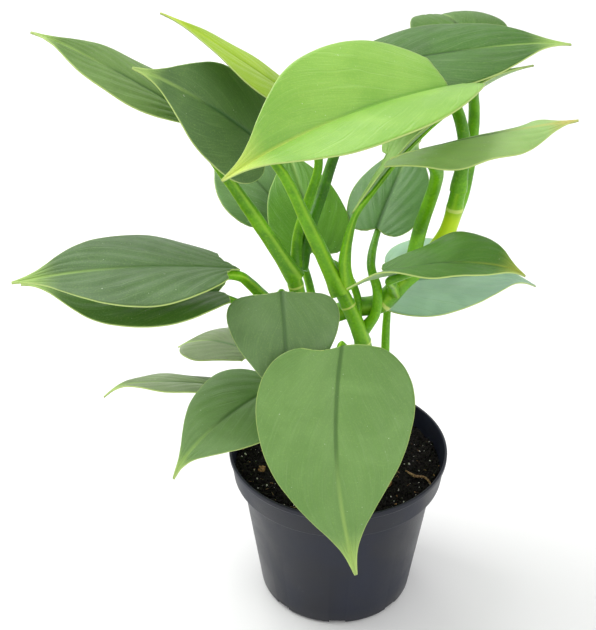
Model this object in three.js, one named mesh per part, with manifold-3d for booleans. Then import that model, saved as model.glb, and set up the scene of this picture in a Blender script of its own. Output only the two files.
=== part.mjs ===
// A potted philodendron: a black nursery pot, its potting mix, three leaning stems, and twenty leaves,
// each with a stalk and a blade. Millimetres, +Z up, origin on the table under the pot's axis.
// -Y is the side that the big drooping leaf hangs over.
import * as THREE from "three";
import { mergeVertices } from "three/addons/utils/BufferGeometryUtils.js";
import Module from "manifold-3d";

const wasm = await Module();
wasm.setup();

// ---------------------------------------------------------------- driving sizes, in mm

const POT_HEIGHT = 93;
const RIM_RADIUS = 60; // outside, at the mouth
const BASE_RADIUS = 43; // outside, at the foot
const BAND_HEIGHT = 16; // the collar below the mouth
const BAND_TAPER = 2.4; // how much narrower the collar is at its lower edge
const BAND_STEP = 4.2; // how far the collar's lower edge stands out from the body
const WALL = 1.3;
const FOOT_LIFT = 2.8; // how high the drain channel stands off the table
const FOOT_WIDTH = 3.4; // width of the foot ring
const CHANNEL_WIDTH = 8; // width of the drain channel inside the foot ring
const DRAIN_COUNT = 8;
const DRAIN_RADIUS = 3;
const NOTCH_WIDTH = 9; // gap between two feet
const POT_SIDES = 40;

const SOIL_BELOW_RIM = 12; // free height left for watering
const SOIL_MOUND = 4; // rise of the mix towards the stems
const SOIL_BUMP = 0.9; // unevenness of the mix's top

const CLEARANCE = 0.35; // gap kept between two pieces that touch
const STEM_DEPTH = 16; // how deep a stem or stalk is set in the mix

const BLADE_THICKNESS = 1; // at the midrib
const MARGIN_THICKNESS = 0.5; // at the edge
const CUT_PAST_BASE = 0.023; // how far back a cutting blade reaches, as a share of its length
const STALK_SIDES = 8;

// ---------------------------------------------------------------- small helpers

const vec = (p) => new THREE.Vector3(p[0], p[1], p[2]);
const smooth = (t) => t * t * (3 - 2 * t);
const clamp01 = (t) => Math.min(1, Math.max(0, t));

function meshOf(name, geometry, material) {
  const mesh = new THREE.Mesh(geometry, material);
  mesh.name = name;
  return mesh;
}

// A BufferGeometry from a list of points and a list of triangles.
function geometryFrom(points, triangles) {
  const geometry = new THREE.BufferGeometry().setFromPoints(points);
  geometry.setIndex(triangles);
  geometry.computeVertexNormals();
  return geometry;
}

// The manifold-3d solid of a closed geometry.
function solidOf(geometry) {
  const bare = geometry.clone();
  bare.deleteAttribute("normal");
  bare.deleteAttribute("uv");
  const merged = mergeVertices(bare, 1e-4);
  const mesh = new wasm.Mesh({
    numProp: 3,
    vertProperties: merged.attributes.position.array,
    triVerts: new Uint32Array(merged.index.array),
  });
  return new wasm.Manifold(mesh);
}

function geometryOf(solid) {
  const { numProp, vertProperties, triVerts } = solid.getMesh();
  const points = [];
  for (let i = 0; i < vertProperties.length; i += numProp) {
    points.push(vec(vertProperties.subarray(i, i + 3)));
  }
  return geometryFrom(points, [...triVerts]);
}

// A closed body through a row of rings, each ring a list of the same number of points, with flat ends.
function skinRings(rings) {
  const sides = rings[0].length;
  const points = rings.flat();
  const triangles = [];
  for (let r = 0; r + 1 < rings.length; r++) {
    for (let k = 0; k < sides; k++) {
      const a = r * sides + k;
      const b = r * sides + ((k + 1) % sides);
      triangles.push(a, b, b + sides, a, b + sides, a + sides);
    }
  }
  const last = (rings.length - 1) * sides;
  for (let k = 1; k + 1 < sides; k++) {
    triangles.push(0, k + 1, k, last, last + k, last + k + 1);
  }
  return geometryFrom(points, triangles);
}

// A closed body between an upper and a lower lattice of points, stitched along the four edges.
function skinLattices(upper, lower) {
  const rows = upper.length;
  const cols = upper[0].length;
  const points = [...upper.flat(), ...lower.flat()];
  const up = (r, c) => r * cols + c;
  const down = (r, c) => rows * cols + r * cols + c;
  const triangles = [];
  const quad = (a, b, c, d) => triangles.push(a, b, c, a, c, d);
  for (let r = 0; r + 1 < rows; r++) {
    for (let c = 0; c + 1 < cols; c++) {
      quad(up(r, c), up(r + 1, c), up(r + 1, c + 1), up(r, c + 1));
      quad(down(r, c), down(r, c + 1), down(r + 1, c + 1), down(r + 1, c));
    }
    quad(up(r, 0), down(r, 0), down(r + 1, 0), up(r + 1, 0));
    quad(up(r, cols - 1), up(r + 1, cols - 1), down(r + 1, cols - 1), down(r, cols - 1));
  }
  for (let c = 0; c + 1 < cols; c++) {
    quad(up(0, c), up(0, c + 1), down(0, c + 1), down(0, c));
    quad(up(rows - 1, c), down(rows - 1, c), down(rows - 1, c + 1), up(rows - 1, c + 1));
  }
  return geometryFrom(points, triangles);
}

// ---------------------------------------------------------------- materials

const plain = (color, roughness) => new THREE.MeshStandardMaterial({ color, roughness, metalness: 0 });
const POT_PLASTIC = plain(0x2b2e36, 0.45);
const POTTING_MIX = plain(0x17120f, 0.95);
const BARK = plain(0x7a5a3c, 0.9);
const STEM_GREEN = plain(0x5f9a1e, 0.5);
const STALK_GREEN = plain(0x6aae2a, 0.45);
const LEAF_GREEN = plain(0x5c8f4a, 0.5);
const YOUNG_LEAF_GREEN = plain(0x8cc84b, 0.45);

// ---------------------------------------------------------------- the pot

const BODY_TOP = POT_HEIGHT - BAND_HEIGHT;
const BAND_FOOT = RIM_RADIUS - BAND_TAPER;
const BODY_SLOPE = (BAND_FOOT - BAND_STEP - BASE_RADIUS) / BODY_TOP;
const bodyRadius = (z) => BASE_RADIUS + BODY_SLOPE * z;
const innerRadius = (z) => bodyRadius(z) - WALL;
const bandInside = (z) => BAND_FOOT - WALL + ((z - BODY_TOP - WALL) * BAND_TAPER) / BAND_HEIGHT;
const CHANNEL_OUTER = BASE_RADIUS - FOOT_WIDTH;
const CHANNEL_INNER = CHANNEL_OUTER - CHANNEL_WIDTH;
const CHANNEL_FLOOR = FOOT_LIFT + WALL;

function makePot() {
  const bandInner = RIM_RADIUS - WALL;
  const profile = [
    [0, 0],
    [CHANNEL_INNER, 0],
    [CHANNEL_INNER + WALL, FOOT_LIFT],
    [CHANNEL_OUTER - WALL, FOOT_LIFT],
    [CHANNEL_OUTER, 0],
    [BASE_RADIUS - WALL, 0],
    [bodyRadius(WALL), WALL],
    [bodyRadius(BODY_TOP), BODY_TOP],
    [BAND_FOOT, BODY_TOP],
    [RIM_RADIUS - 0.4, POT_HEIGHT - 2.4],
    [RIM_RADIUS, POT_HEIGHT - 2],
    [RIM_RADIUS, POT_HEIGHT - 0.5],
    [RIM_RADIUS - 0.5, POT_HEIGHT],
    [bandInner, POT_HEIGHT - 0.3],
    [BAND_FOOT - WALL, BODY_TOP + WALL],
    [innerRadius(BODY_TOP), BODY_TOP],
    [innerRadius(CHANNEL_FLOOR), CHANNEL_FLOOR],
    [CHANNEL_INNER, CHANNEL_FLOOR],
    [CHANNEL_INNER - WALL, WALL],
    [0, WALL],
  ];
  const shell = new THREE.LatheGeometry(
    profile.map(([r, z]) => new THREE.Vector2(r, z)),
    POT_SIDES,
  );
  shell.rotateX(Math.PI / 2);
  let pot = solidOf(shell);
  const drain = new THREE.CylinderGeometry(DRAIN_RADIUS, DRAIN_RADIUS, CHANNEL_FLOOR * 3, 12);
  drain.rotateX(Math.PI / 2);
  const notch = new THREE.BoxGeometry(FOOT_WIDTH * 3, NOTCH_WIDTH, FOOT_LIFT * 2);
  for (let k = 0; k < DRAIN_COUNT; k++) {
    const turn = (360 * k) / DRAIN_COUNT - 90;
    const hole = solidOf(drain).translate([(CHANNEL_INNER + CHANNEL_OUTER) / 2, 0, 0]);
    const gap = solidOf(notch).translate([CHANNEL_OUTER + FOOT_WIDTH, 0, 0]);
    pot = pot.subtract(hole.rotate([0, 0, turn])).subtract(gap.rotate([0, 0, turn]));
  }
  return geometryOf(pot);
}

// ---------------------------------------------------------------- stems and stalks

// The path of a stem or stalk, and its radius along it, from the first to the last value given.
function wand(points, radii) {
  const path = new THREE.CatmullRomCurve3(points.map(vec), false, "centripetal");
  const radiusAt = (t) => {
    const x = t * (radii.length - 1);
    const k = Math.min(Math.floor(x), radii.length - 2);
    return THREE.MathUtils.lerp(radii[k], radii[k + 1], smooth(x - k));
  };
  return { path, radiusAt };
}

// The closed tube of a wand, grown by `extra` all round when another piece is cut by it.
function tube({ path, radiusAt }, steps, extra = 0) {
  const frames = path.computeFrenetFrames(steps, false);
  const rings = [];
  for (let i = 0; i <= steps; i++) {
    const centre = path.getPointAt(i / steps);
    const radius = radiusAt(i / steps) + extra;
    const ring = [];
    for (let k = 0; k < STALK_SIDES; k++) {
      const turn = (2 * Math.PI * k) / STALK_SIDES;
      ring.push(
        centre
          .clone()
          .addScaledVector(frames.normals[i], radius * Math.cos(turn))
          .addScaledVector(frames.binormals[i], radius * Math.sin(turn)),
      );
    }
    rings.push(ring);
  }
  return skinRings(rings);
}

const SOIL_TOP = POT_HEIGHT - SOIL_BELOW_RIM;
const ROOTED = SOIL_TOP - STEM_DEPTH; // where the stems' lower ends are

const STEMS = {
  stem_left: wand(
    [[-8, 0, ROOTED], [-9, 0, SOIL_TOP + 20], [-13, -2, 140], [-20, -6, 180], [-24, -8, 203]],
    [4.5, 5, 4.6, 4.6, 3.8],
  ),
  stem_middle: wand(
    [[17, 5, ROOTED], [17, 4, SOIL_TOP + 20], [14, -4, 150], [9, -8, 172], [0, -8, 194]],
    [4, 4.4, 4.2, 4.2, 3.6],
  ),
  stem_right: wand(
    [
      [2, 14, ROOTED], [-2, 13, SOIL_TOP + 25], [-10, 9, 150], [-6, 4, 172], [6, 2, 179], [20, 2, 182],
      [30, 3, 193], [42, 4, 205], [52, 4, 222], [56, 4, 244],
    ],
    [4, 4.4, 3.6, 3.4, 3.6, 4.8, 5.2, 4.6, 4.2, 3.9],
  ),
};

// ---------------------------------------------------------------- leaves

// Half the blade's width from its base (0) to its tip (1), as a share of its greatest half width.
const OUTLINE = [
  [0, 0.5], [0.04, 0.74], [0.1, 0.89], [0.17, 0.97], [0.26, 1], [0.38, 0.95], [0.5, 0.83],
  [0.62, 0.62], [0.73, 0.39], [0.82, 0.2], [0.9, 0.085], [0.95, 0.045], [1, 0.015],
];
const ROWS = [0, 0.04, 0.1, 0.18, 0.28, 0.4, 0.52, 0.64, 0.75, 0.84, 0.92, 1];
const COLUMNS = [-1, -0.68, -0.34, 0, 0.34, 0.68, 1];

function halfWidth(u) {
  let k = 0;
  while (k < OUTLINE.length - 2 && OUTLINE[k + 1][0] < u) k++;
  const [u0, w0] = OUTLINE[k];
  const [u1, w1] = OUTLINE[k + 1];
  const before = OUTLINE[Math.max(k - 1, 0)];
  const after = OUTLINE[Math.min(k + 2, OUTLINE.length - 1)];
  const span = u1 - u0;
  const t = clamp01((u - u0) / span);
  const m0 = ((w1 - before[1]) / (u1 - before[0])) * span;
  const m1 = ((after[1] - w0) / (after[0] - u0)) * span;
  const t2 = t * t;
  const t3 = t2 * t;
  return (2 * t3 - 3 * t2 + 1) * w0 + (t3 - 2 * t2 + t) * m0 + (-2 * t3 + 3 * t2) * w1 + (t3 - t2) * m1;
}

// A leaf is given by its base and tip in mm, its width, and how it is bent:
//   full         above 1 the widest part lies further from the base
//   arch, sway   how far the midrib bows off the straight line, along the face's normal and sideways
//   roll         turn of the face about the midrib, in degrees; 0 faces as far up as the midrib allows
//   twist        how much further it has turned at the tip
//   fold, cup    slope of each half at the midrib, and how much steeper it is at the edge, in degrees
//   skew         slope added to one half and taken off the other
//   hook         how far the last fifth of the tip dips below its own line
//   lobe         how far the two base lobes reach back past the stalk, as a share of the length
//   lopsided     share of that reach moved from the one lobe to the other
const LEAF_DEFAULTS = {
  full: 1, arch: 8, sway: 0, roll: 0, twist: 0, fold: 8, cup: -20, skew: 0, hook: 3, lobe: 0.05, lopsided: 0,
  young: false,
};

function bladeFrame(leaf) {
  const base = vec(leaf.base);
  const chord = vec(leaf.tip).sub(base);
  const along = chord.clone().normalize();
  const up = new THREE.Vector3(0, 0, 1);
  const face = up.addScaledVector(along, -up.dot(along)).normalize();
  face.applyAxisAngle(along, THREE.MathUtils.degToRad(leaf.roll));
  return { base, chord, along, face, side: new THREE.Vector3().crossVectors(face, along) };
}

// The point of the blade's middle surface at u along and v across, and the face's normal there.
function bladePoint(leaf, frame, u, v) {
  const spread = Math.sin((Math.PI / 2) * Math.min(1, Math.abs(v) / 0.7));
  const lobe = leaf.lobe * (1 + Math.sign(v) * leaf.lopsided);
  const s = u - lobe * spread * (1 - u) ** 3;
  const bow = 4 * s * (1 - s);
  const hooked = leaf.hook * clamp01((s - 0.8) / 0.2) ** 2;
  const rib = frame.base
    .clone()
    .addScaledVector(frame.chord, s)
    .addScaledVector(frame.face, leaf.arch * bow - hooked)
    .addScaledVector(frame.side, leaf.sway * bow);
  const slope = 4 * (1 - 2 * s);
  const tangent = frame.chord
    .clone()
    .addScaledVector(frame.face, leaf.arch * slope)
    .addScaledVector(frame.side, leaf.sway * slope)
    .normalize();
  const normal = frame.face.clone().addScaledVector(tangent, -frame.face.dot(tangent)).normalize();
  normal.applyAxisAngle(tangent, THREE.MathUtils.degToRad(leaf.twist * clamp01(s)));
  const across = new THREE.Vector3().crossVectors(normal, tangent);
  const radians = THREE.MathUtils.degToRad;
  const reach = Math.abs(v) * halfWidth(Math.max(u, 0) ** leaf.full);
  const first = radians(leaf.fold + Math.sign(v) * leaf.skew);
  const bend = radians(leaf.cup) * reach || 1e-6;
  const outward = ((Math.sin(first + bend) - Math.sin(first)) / bend) * reach;
  const lifted = ((Math.cos(first) - Math.cos(first + bend)) / bend) * reach;
  const half = leaf.width / 2;
  return {
    point: rib
      .addScaledVector(across, Math.sign(v) * outward * half)
      .addScaledVector(normal, lifted * half),
    normal: normal.addScaledVector(across, -Math.sign(v) * Math.tan(first + bend)).normalize(),
  };
}

// The blade as a closed sheet, grown by `extra` on both faces and past its base when a stalk is cut by it.
function blade(leaf, extra = 0) {
  const frame = bladeFrame(leaf);
  const upper = [];
  const lower = [];
  for (const u of extra ? [-CUT_PAST_BASE, ...ROWS.slice(1)] : ROWS) {
    const over = [];
    const under = [];
    for (const v of COLUMNS) {
      const { point, normal } = bladePoint(leaf, frame, u, v);
      const half = THREE.MathUtils.lerp(BLADE_THICKNESS, MARGIN_THICKNESS, Math.abs(v)) / 2 + extra;
      over.push(point.clone().addScaledVector(normal, half));
      under.push(point.clone().addScaledVector(normal, -half));
    }
    upper.push(over);
    lower.push(under);
  }
  return skinLattices(upper, lower);
}

// Each leaf, from the top of the plant down. `from` is where its stalk starts, on a stem or in the mix,
// `via` are the points that the stalk passes, and `stalk` its radius at the foot and under the blade.
const LEAVES = {
  top_front: {
    base: [47, 0, 298], tip: [-54, -62, 279], width: 73, full: 1.3, arch: 7, roll: -13, twist: -24,
    fold: 27, cup: -18, skew: 6, hook: 1, lobe: 0.02, lopsided: 1.3, young: true,
    from: [56, 4, 244], via: [[57, 5, 270]], stalk: [3.4, 2.4],
  },
  top_right: {
    base: [12, 44, 292], tip: [112, 46, 304], width: 77, full: 1.25, arch: 3, roll: 6, hook: 1,
    from: [-21, -1, 203], via: [[-17, 8, 218], [-10, 22, 234], [-1, 34, 258]], stalk: [3.2, 2.2],
  },
  top_right_back: {
    base: [69, 70, 283], tip: [51, 126, 291], width: 54, full: 1.3, arch: 14,
    from: [53, 5, 224], via: [[60, 14, 238], [66, 36, 266]], stalk: [3.2, 2.6],
  },
  right_upright: {
    base: [4, -2, 235], tip: [93, 46, 295], width: 42, arch: 8, roll: -20, twist: 0, fold: 24, cup: -10,
    lobe: -0.28, full: 1.6, from: [2, -7, 197], via: [[1, -8, 214]], stalk: [3.6, 1.6],
  },
  right_pale: {
    base: [37, -21, 277], tip: [100, -33, 294], width: 43, arch: 1, roll: -22, twist: 24, fold: -17,
    skew: 9, cup: -4, hook: 0, lobe: 0.3, full: 1.3, from: [34, 3, 197], via: [[38, 1, 224], [43, -10, 258]],
    stalk: [3.8, 2.8],
  },
  top_left_young: {
    base: [-19, 15, 284], tip: [-84, 12, 329], width: 46, arch: 1, fold: 6, hook: 1, young: true,
    from: [-23, -2, 205], via: [[-22, 5, 220], [-17, 10, 236], [-12, 14, 256]], stalk: [3, 1.8],
  },
  far_left: {
    base: [-75, 0, 286], tip: [-144, 12, 320], width: 38, full: 1.3, arch: 2, roll: -6, hook: 1,
    from: [-23, -8, 202], via: [[-38, -5, 226], [-56, -2, 254]], stalk: [4, 2],
  },
  upper_left: {
    base: [-39, 2, 269], tip: [-95, -12, 311], width: 60, arch: 4, roll: -36, hook: 1,
    from: [-1, -8, 194], via: [[-17, -5, 230], [-30, 0, 256]], stalk: [4.2, 2],
  },
  back_left: {
    base: [-30, 47, 211], tip: [-72, 84, 233], width: 60, arch: 6,
    from: [-12, -1, 130], via: [[-16, 24, 180]], stalk: [3, 1.8],
  },
  back_centre: {
    base: [-13, 19, 204], tip: [-29, 74, 240], width: 43, arch: 4,
    from: [8, -8, 175], via: [[8, 0, 187], [2, 8, 197]], stalk: [2.2, 1.6],
  },
  back_right: {
    base: [19, 28, 212], tip: [45, 84, 240], width: 42, arch: 4,
    from: [11, -6, 170], via: [[17, -6, 180], [18, -3, 192], [15, 5, 202]], stalk: [2.8, 1.8],
  },
  mid_left: {
    base: [-50, -15, 211], tip: [-155, -40, 217], width: 66, full: 1.35, arch: 4, roll: 8, twist: -26,
    hook: 0, lobe: -0.08, from: [-19, -5, 172], via: [[-36, -4, 186], [-46, -11, 201]], stalk: [3.6, 2.4],
  },
  mid_left_low: {
    base: [-62, -5, 193], tip: [-156, -20, 208], width: 56, full: 1.5, arch: -3, roll: 0, twist: -18,
    from: [-12, -1, 132], via: [[-36, -2, 172]], stalk: [3, 1.6],
  },
  front_left: {
    base: [-30, -22, 203], tip: [-26, -60, 148], width: 55, arch: 6, cup: -22, lobe: -0.03,
    lopsided: 0,
    full: 0.75, from: [-15, -3, 155], via: [[-26, -6, 180]], stalk: [3, 1.8],
  },
  front: {
    base: [-1, -45, 186], tip: [6, -100, 91], width: 76, arch: 6, sway: -7, cup: -19, lobe: -0.01,
    lopsided: -3, from: [2, -6, ROOTED], via: [[3, -8, 125], [2, -28, 168]], stalk: [3.4, 2],
  },
  low_left: {
    base: [-36, -24, 146], tip: [-84, -62, 121], width: 53, arch: 8, roll: -8,
    from: [-8, -8, ROOTED], via: [[-14, -10, 115], [-26, -16, 138]], stalk: [3, 1.8],
  },
  low_far_left: {
    base: [-62, 2, 130], tip: [-124, -8, 136], width: 36, arch: 3, roll: 18, hook: 5,
    full: 1.3, from: [-18, 6, ROOTED], via: [[-26, 6, 105], [-44, 3, 122]], stalk: [2.4, 1.5],
  },
  low_back_left: {
    base: [-48, 14, 145], tip: [-90, 45, 128], width: 42, full: 1.5, arch: 5, hook: 0,
    from: [-14, 12, ROOTED], via: [[-20, 12, 110], [-34, 13, 134]], stalk: [2.6, 1.5],
  },
  right_upper: {
    base: [21, -26, 214], tip: [82, -44, 225], width: 49, full: 1.65, arch: 5, roll: -14, twist: 26,
    hook: 2, lobe: 0.16, lopsided: -0.6, fold: 20, from: [27, 1, 189], via: [[24, -16, 203]], stalk: [3, 2],
  },
  right_lower: {
    base: [28, 36, 174], tip: [109, 44, 171], width: 72, arch: 4, roll: 6, fold: 14, lobe: 0.06,
    lopsided: -1, from: [24, 6, ROOTED], via: [[25, 10, 120], [26, 26, 158]], stalk: [3, 2],
  },
};
for (const name of Object.keys(LEAVES)) LEAVES[name] = { ...LEAF_DEFAULTS, ...LEAVES[name] };

// ---------------------------------------------------------------- the potting mix

// Loose scraps that lie on the mix: where, how large, and how they are turned.
const CHIPS = {
  bark_chip_front: { at: [25, -22], size: [8, 4, 2.4], turn: 35 },
  bark_chip_back: { at: [40, 26], size: [6, 4, 2], turn: -50 },
  bark_chip_left: { at: [-42, -8], size: [5, 3.4, 2], turn: 80 },
};
const FIBRE_PATH = [[37, -10], [42, -15], [47, -16], [50, -22]];
const ROOT_FIBRE = wand(
  FIBRE_PATH.map(([x, y]) => [x, y, SOIL_TOP + 1.6]),
  [0.6, 0.8, 0.6],
);

function makeChip({ at, size, turn }, extra = 0) {
  const chip = new THREE.DodecahedronGeometry(0.5);
  chip.scale(size[0] + 2 * extra, size[1] + 2 * extra, size[2] + 2 * extra);
  chip.rotateZ(THREE.MathUtils.degToRad(turn));
  return chip.translate(at[0], at[1], soilHeight(...at) + size[2] * 0.3);
}

const SOIL_EDGE = SOIL_TOP - SOIL_BUMP - 0.1; // height up to which the mix's side is smooth
const SHELF_TOP = BODY_TOP + WALL + CLEARANCE; // the mix also fills the collar's shelf if it reaches it
const ON_SHELF = SOIL_EDGE > SHELF_TOP;
const SOIL_RADIUS =
  (ON_SHELF ? bandInside(SOIL_EDGE) : innerRadius(Math.min(SOIL_EDGE, BODY_TOP))) - CLEARANCE;

function soilHeight(x, y) {
  const share = 1 - Math.min(1, Math.hypot(x, y) / SOIL_RADIUS);
  const wave = Math.sin(x * 0.31 + 1) * Math.cos(y * 0.27 - x * 0.12);
  return SOIL_TOP + SOIL_MOUND * smooth(share) + SOIL_BUMP * wave;
}

function makeSoil() {
  const wallSide = (z) => innerRadius(z) - CLEARANCE;
  const floor = CHANNEL_FLOOR + CLEARANCE;
  const profile = [
    [0, WALL + CLEARANCE],
    [CHANNEL_INNER - WALL - CLEARANCE, WALL + CLEARANCE],
    [CHANNEL_INNER - CLEARANCE, floor],
    [wallSide(floor), floor],
  ];
  if (ON_SHELF) {
    profile.push([wallSide(BODY_TOP), BODY_TOP + CLEARANCE]);
    profile.push([bandInside(BODY_TOP + WALL) - CLEARANCE, SHELF_TOP]);
  }
  const rings = 5;
  for (let k = 0; k < rings; k++) {
    profile.push([SOIL_RADIUS * (1 - k / rings), SOIL_TOP]);
  }
  profile.push([0, SOIL_TOP]);
  const plug = new THREE.LatheGeometry(
    profile.map(([r, z]) => new THREE.Vector2(r, z)),
    32,
  );
  plug.rotateX(Math.PI / 2);
  const place = plug.attributes.position;
  for (let i = 0; i < place.count; i++) {
    const [x, y, z] = [place.getX(i), place.getY(i), place.getZ(i)];
    if (z < SOIL_TOP - 1) continue;
    place.setZ(i, soilHeight(x, y));
  }
  let soil = solidOf(plug);
  const scraps = Object.values(CHIPS).map((chip) => makeChip(chip, CLEARANCE));
  scraps.push(tube(ROOT_FIBRE, FIBRE_STEPS, CLEARANCE));
  for (const socket of [...rootedTubes(CLEARANCE), ...scraps]) soil = soil.subtract(solidOf(socket));
  return geometryOf(soil);
}

// ---------------------------------------------------------------- putting it together

// A stalk runs up under the blade and along its midrib for a little way.
function stalkOf(leaf) {
  const frame = bladeFrame(leaf);
  const thick = leaf.stalk[1];
  const under = [0, 0.12].map((u) => {
    const { point, normal } = bladePoint(leaf, frame, u, 0);
    return point.addScaledVector(normal, -thick * 0.9).toArray();
  });
  const foot = leaf.stalk[0];
  const radii = [foot, foot * 0.75 + thick * 0.25, foot * 0.4 + thick * 0.6, thick, thick * 0.7];
  return wand([leaf.from, ...leaf.via, ...under], radii);
}

const isRooted = (leaf) => leaf.from[2] === ROOTED;
const STALK_STEPS = 9;
const STEM_STEPS = 14;
const FIBRE_STEPS = 6;

function rootedTubes(extra) {
  const stems = Object.values(STEMS).map((stem) => tube(stem, STEM_STEPS, extra));
  const stalks = Object.values(LEAVES)
    .filter(isRooted)
    .map((leaf) => tube(stalkOf(leaf), STALK_STEPS, extra));
  return [...stems, ...stalks];
}

// A stalk ends clear of the stems, of the stalks made before it, and of its own blade.
const grown = Object.values(STEMS).map((stem) => solidOf(tube(stem, STEM_STEPS, CLEARANCE)));
function makeStalk(leaf) {
  const wandOf = stalkOf(leaf);
  let stalk = solidOf(tube(wandOf, STALK_STEPS)).subtract(solidOf(blade(leaf, CLEARANCE)));
  for (const other of grown) stalk = stalk.subtract(other);
  grown.push(solidOf(tube(wandOf, STALK_STEPS, CLEARANCE)));
  const pieces = stalk.decompose().sort((a, b) => b.volume() - a.volume());
  return geometryOf(pieces[0]);
}

const plant = new THREE.Group();
plant.add(meshOf("pot", makePot(), POT_PLASTIC));
plant.add(meshOf("potting_mix", makeSoil(), POTTING_MIX));
for (const [name, chip] of Object.entries(CHIPS)) plant.add(meshOf(name, makeChip(chip), BARK));
plant.add(meshOf("root_fibre", tube(ROOT_FIBRE, FIBRE_STEPS), BARK));
for (const [name, stem] of Object.entries(STEMS)) {
  plant.add(meshOf(name, tube(stem, STEM_STEPS), STEM_GREEN));
}
for (const [name, leaf] of Object.entries(LEAVES)) {
  plant.add(meshOf(`stalk_${name}`, makeStalk(leaf), STALK_GREEN));
  plant.add(meshOf(`leaf_${name}`, blade(leaf), leaf.young ? YOUNG_LEAF_GREEN : LEAF_GREEN));
}

export default plant;
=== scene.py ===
# %% [markdown]
# # A philodendron in a nursery pot
#
# The plant is twenty heart-shaped leaves, each on its own long stalk. The stalks grow from three
# leaning stems, and the stems stand in dark potting mix in a round plastic pot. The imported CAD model
# already has every leaf, stalk and stem in its place. This script builds the fine version of each
# piece round that model and gives it its colour and surface.

import math
import random

import bmesh
import bpy
from mathutils import Matrix, Vector


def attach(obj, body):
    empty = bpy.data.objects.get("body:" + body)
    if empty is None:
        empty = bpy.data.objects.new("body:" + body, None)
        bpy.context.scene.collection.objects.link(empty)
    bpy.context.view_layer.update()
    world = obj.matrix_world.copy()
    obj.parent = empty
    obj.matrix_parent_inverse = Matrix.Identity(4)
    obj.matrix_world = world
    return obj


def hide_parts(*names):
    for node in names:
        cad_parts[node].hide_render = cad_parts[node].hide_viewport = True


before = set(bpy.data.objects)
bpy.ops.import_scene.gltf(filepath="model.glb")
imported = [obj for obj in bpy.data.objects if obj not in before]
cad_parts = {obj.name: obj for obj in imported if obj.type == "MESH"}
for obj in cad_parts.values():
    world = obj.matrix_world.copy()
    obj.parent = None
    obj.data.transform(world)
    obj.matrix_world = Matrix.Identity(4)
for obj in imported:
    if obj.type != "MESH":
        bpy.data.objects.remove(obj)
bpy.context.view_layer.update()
MM = 0.001  # the tables below are in millimetres, the scene is in metres


def add_to_scene(thing):
    bpy.context.scene.collection.objects.link(thing)
    return thing


# %% [markdown]
# ## Formulas as nodes
#
# Shapes and materials are both trees of nodes, and most of those nodes do plain arithmetic. Placing
# a Math node by hand for each plus sign makes a formula hard to read. The small class below wraps a
# node's output, so that `a * b + c` adds the two Math nodes that say the same.

# %% A socket that takes arithmetic
class Term:
    def __init__(self, tree, socket):
        self.tree, self.socket = tree, socket

    def math(self, operation, *others):
        return add_node(self.tree, "ShaderNodeMath", (self, *others), operation=operation)

    def vector(self, operation, *others, out=0):
        return add_node(
            self.tree, "ShaderNodeVectorMath", (self, *others), out=out, operation=operation
        )

    def either(self, operation, other):
        is_vector = self.socket.type == "VECTOR"
        return self.vector(operation, other) if is_vector else self.math(operation, other)

    def __add__(self, other):
        return self.either("ADD", other)

    def __sub__(self, other):
        return self.either("SUBTRACT", other)

    def __mul__(self, other):
        if self.socket.type == "VECTOR":
            return add_node(
                self.tree, "ShaderNodeVectorMath", {0: self, 3: other}, operation="SCALE"
            )
        return self.math("MULTIPLY", other)

    def __truediv__(self, other):
        return self.math("DIVIDE", other)

    def __pow__(self, other):
        return self.math("POWER", other)

    def __rsub__(self, number):
        return add_node(self.tree, "ShaderNodeMath", (number, self), operation="SUBTRACT")

    __radd__ = __add__
    __rmul__ = __mul__

    def clamped(self):
        return self.math("MAXIMUM", 0.0).math("MINIMUM", 1.0)

    def part(self, k):
        return add_node(self.tree, "ShaderNodeSeparateXYZ", (self,), out=k)

    def turned(self, axis, angle):
        return add_node(
            self.tree, "ShaderNodeVectorRotate", {"Vector": self, "Axis": axis, "Angle": angle}
        )


def add_node(tree, kind, inputs=(), out=0, **settings):
    """Adds a node, makes its settings, sets or links its inputs, and gives one output as a Term."""
    node = tree.nodes.new(kind)
    for key, value in settings.items():
        setattr(node, key, value)
    for key, value in inputs.items() if isinstance(inputs, dict) else enumerate(inputs):
        if isinstance(value, Term):
            tree.links.new(value.socket, node.inputs[key])
        else:
            node.inputs[key].default_value = value
    return Term(tree, node.outputs[out])


# %% [markdown]
# ## Trees that make shapes
#
# A Geometry Nodes tree has named inputs, as a function has arguments. One tree then makes twenty
# leaves, because each leaf passes in its own sizes. When a tree has done its work its result becomes
# a plain mesh.

# %% Make a tree, run it, keep the mesh
def shape_tree(name, **inputs):
    """An empty Geometry Nodes tree, and a Term for each input. Inputs are given as name=kind."""
    tree = bpy.data.node_groups.new(name, "GeometryNodeTree")
    tree.interface.new_socket("Geometry", in_out="OUTPUT", socket_type="NodeSocketGeometry")
    given = tree.nodes.new("NodeGroupInput")
    for key, kind in inputs.items():
        tree.interface.new_socket(key, in_out="INPUT", socket_type=f"NodeSocket{kind.title()}")
    return tree, {key: Term(tree, given.outputs[key]) for key in inputs}


def finish_tree(tree, shape, material):
    """Ends a tree as every tree here ends: instances made real, and a material set."""
    real = add_node(tree, "GeometryNodeRealizeInstances", {0: shape})
    smooth = add_node(tree, "GeometryNodeSetShadeSmooth", {"Geometry": real})
    painted = add_node(
        tree, "GeometryNodeSetMaterial", {"Geometry": smooth, "Material": material}
    )
    tree.links.new(painted.socket, tree.nodes.new("NodeGroupOutput").inputs[0])
    return tree


def evaluated_mesh(source, name):
    """The mesh that an object has after its modifiers, as data of its own. The object goes."""
    depsgraph = bpy.context.evaluated_depsgraph_get()
    mesh = bpy.data.meshes.new_from_object(
        source.evaluated_get(depsgraph), preserve_all_data_layers=True, depsgraph=depsgraph
    )
    mesh.name = name
    bpy.data.objects.remove(source)
    return mesh


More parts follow.
